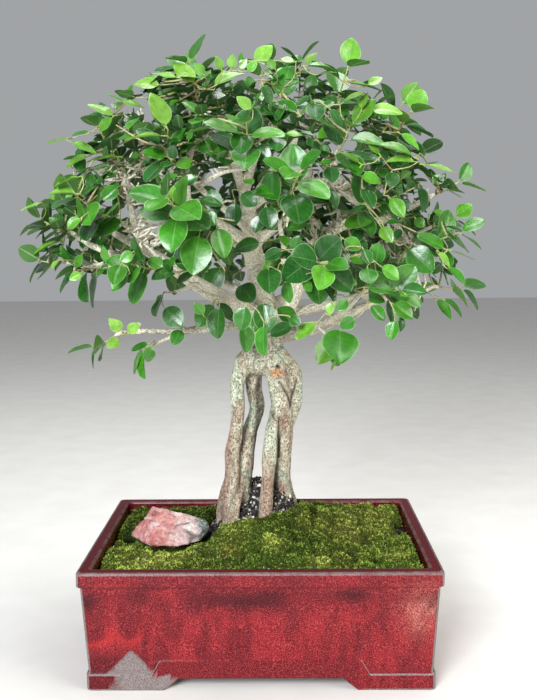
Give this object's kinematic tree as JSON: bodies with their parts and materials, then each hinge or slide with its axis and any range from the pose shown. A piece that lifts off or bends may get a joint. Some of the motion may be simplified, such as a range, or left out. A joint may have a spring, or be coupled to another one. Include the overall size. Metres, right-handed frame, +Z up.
{
  "type": "parrots beak bonsai in a glazed pot",
  "caption": "Bonsai tree with a domed leafy crown on four stilt-like stems, in a rectangular oxblood-glazed pot with moss, soil and a red stone.",
  "frame": {"origin": "middle of the pot's footprint, on the surface that the pot stands on", "axes": "+Z up; +X to the right along the pot's length, seen from the front; +Y towards the back"},
  "size_m": [0.4812, 0.3878, 0.6501],
  "materials": {
    "glaze": "gloss",
    "soil": "matte",
    "moss": "matte",
    "stone": "matte",
    "bark": "matte",
    "foliage_mature": "satin",
    "foliage_fresh": "satin",
    "mesh": "matte"
  },
  "bodies": {
    "root": {"pot": "glaze", "drain_mesh_left": "mesh", "drain_mesh_right": "mesh", "soil": "soil", "stone": "stone", "moss_front": "moss", "moss_right": "moss", "moss_back": "moss", "moss_left": "moss", "trunk": "bark", "spray_01": "foliage_fresh", "spray_02": "foliage_fresh", "spray_03": "foliage_fresh", "spray_04": "foliage_fresh", "spray_05": "foliage_fresh", "spray_06": "foliage_fresh", "spray_07": "foliage_fresh", "spray_08": "foliage_mature", "spray_09": "foliage_fresh", "spray_10": "foliage_mature", "spray_11": "foliage_mature", "spray_12": "foliage_mature", "spray_13": "foliage_fresh", "spray_14": "foliage_mature", "spray_15": "foliage_mature", "spray_16": "foliage_mature", "spray_17": "foliage_fresh", "spray_18": "foliage_mature", "spray_19": "foliage_fresh", "spray_20": "foliage_mature", "spray_21": "foliage_fresh", "spray_22": "foliage_fresh", "spray_23": "foliage_mature", "spray_24": "foliage_mature", "spray_25": "foliage_fresh", "spray_26": "foliage_mature", "spray_27": "foliage_mature", "spray_28": "foliage_mature", "spray_29": "foliage_fresh", "spray_30": "foliage_mature", "spray_31": "foliage_mature", "spray_32": "foliage_mature", "spray_33": "foliage_fresh", "spray_34": "foliage_mature", "spray_35": "foliage_mature", "spray_36": "foliage_mature", "spray_37": "foliage_fresh", "spray_38": "foliage_fresh", "spray_39": "foliage_mature", "spray_40": "foliage_mature", "spray_41": "foliage_fresh", "spray_42": "foliage_mature", "spray_43": "foliage_mature", "spray_44": "foliage_fresh", "spray_45": "foliage_fresh", "spray_46": "foliage_mature", "spray_47": "foliage_fresh", "spray_48": "foliage_fresh", "spray_49": "foliage_fresh", "spray_50": "foliage_mature"}
  },
  "joints": []
}
